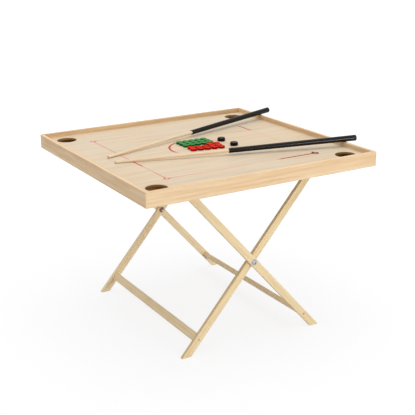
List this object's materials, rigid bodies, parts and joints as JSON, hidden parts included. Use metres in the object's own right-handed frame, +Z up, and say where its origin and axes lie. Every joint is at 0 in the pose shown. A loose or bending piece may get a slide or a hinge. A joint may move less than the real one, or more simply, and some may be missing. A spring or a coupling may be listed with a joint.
{
  "type": "bob game table",
  "caption": "Square wooden game tray with corner pockets on a folding scissor stand, with coloured discs, black strikers and two cues laid out on it.",
  "frame": {"origin": "on the floor under the middle of the whole set's bounding box", "axes": "+X along the front rail to the right, where the cue butts reach past the tray; +Y from the front rail to the back rail; +Z up"},
  "size_m": [0.9444, 0.9, 0.6754],
  "materials": {
    "leg_wood": "satin varnished pine",
    "cross_wood": "satin varnished pine",
    "screw_steel": "dark oiled steel",
    "bolt_steel": "zinc plated",
    "nut_steel": "dull zinc",
    "rail_wood": "satin varnished pine",
    "board_wood": "satin varnished birch plywood with thin printed lines",
    "block_wood": "plain planed pine",
    "green_disc": "satin green",
    "red_disc": "satin red",
    "black_disc": "satin black",
    "tip_leather": "pressed leather",
    "ferrule": "ivory white",
    "shaft_wood": "satin varnished",
    "butt_lacquer": "black lacquer, satin gloss",
    "bumper_rubber": "matt black"
  },
  "bodies": {
    "outer_frame": {"leg_outer_near": "leg_wood", "leg_outer_far": "leg_wood", "stretcher_outer": "cross_wood", "top_rail_outer": "cross_wood", "screws_outer": "screw_steel", "pivot_bolt_near": "bolt_steel", "pivot_bolt_far": "bolt_steel", "pivot_nut_near": "nut_steel", "pivot_nut_far": "nut_steel", "washers_outer": "bolt_steel", "washers_middle": "bolt_steel", "washers_inner": "bolt_steel"},
    "inner_frame": {"leg_inner_near": "leg_wood", "leg_inner_far": "leg_wood", "stretcher_inner": "cross_wood", "top_rail_inner": "cross_wood", "screws_inner": "screw_steel"},
    "tray": {"rail_front": "rail_wood", "rail_right": "rail_wood", "rail_back": "rail_wood", "rail_left": "rail_wood", "board": "board_wood", "stop_batten_left": "block_wood", "stop_batten_right": "block_wood", "guide_blocks_left": "block_wood", "guide_blocks_right": "block_wood", "batten_screws": "screw_steel", "pocket_fence_front_left": "block_wood", "pocket_fence_front_right": "block_wood", "pocket_fence_back_right": "block_wood", "pocket_fence_back_left": "block_wood", "pocket_floor_front_left": "block_wood", "pocket_floor_front_right": "block_wood", "pocket_floor_back_right": "block_wood", "pocket_floor_back_left": "block_wood", "corner_blocks": "block_wood", "pocket_screws": "screw_steel"},
    "green_discs": {"green_pucks": "green_disc"},
    "red_discs": {"red_pucks": "red_disc"},
    "striker_behind": {"striker_back": "black_disc"},
    "striker_ahead": {"striker_front": "black_disc"},
    "cue_behind": {"cue_back_tip": "tip_leather", "cue_back_ferrule": "ferrule", "cue_back_shaft": "shaft_wood", "cue_back_butt": "butt_lacquer", "cue_back_bumper": "bumper_rubber"},
    "cue_ahead": {"cue_front_tip": "tip_leather", "cue_front_ferrule": "ferrule", "cue_front_shaft": "shaft_wood", "cue_front_butt": "butt_lacquer", "cue_front_bumper": "bumper_rubber"}
  },
  "joints": [
    {"name": "stand_fold", "type": "hinge", "parent": "outer_frame", "child": "inner_frame", "pos_m": [-0.02217, 0, 0.302], "axis": [0, -1, 0], "range_deg": [0, 78]},
    {"name": "tray_lift", "type": "slide", "parent": "outer_frame", "child": "tray", "axis": [0, 0, 1], "range_m": [0, 0.45]},
    {"name": "green_discs_lift", "type": "slide", "parent": "tray", "child": "green_discs", "axis": [0, 0, 1], "range_m": [0, 0.1]},
    {"name": "red_discs_lift", "type": "slide", "parent": "tray", "child": "red_discs", "axis": [0, 0, 1], "range_m": [0, 0.1]},
    {"name": "striker_behind_lift", "type": "slide", "parent": "tray", "child": "striker_behind", "axis": [0, 0, 1], "range_m": [0, 0.1]},
    {"name": "striker_ahead_lift", "type": "slide", "parent": "tray", "child": "striker_ahead", "axis": [0, 0, 1], "range_m": [0, 0.1]},
    {"name": "cue_behind_lift", "type": "slide", "parent": "tray", "child": "cue_behind", "axis": [0, 0, 1], "range_m": [0, 0.15]},
    {"name": "cue_ahead_lift", "type": "slide", "parent": "tray", "child": "cue_ahead", "axis": [0, 0, 1], "range_m": [0, 0.15]}
  ],
  "couplings": [
    {"joint": "tray_lift", "follows": "stand_fold", "m_per_rad": 0.33}
  ]
}
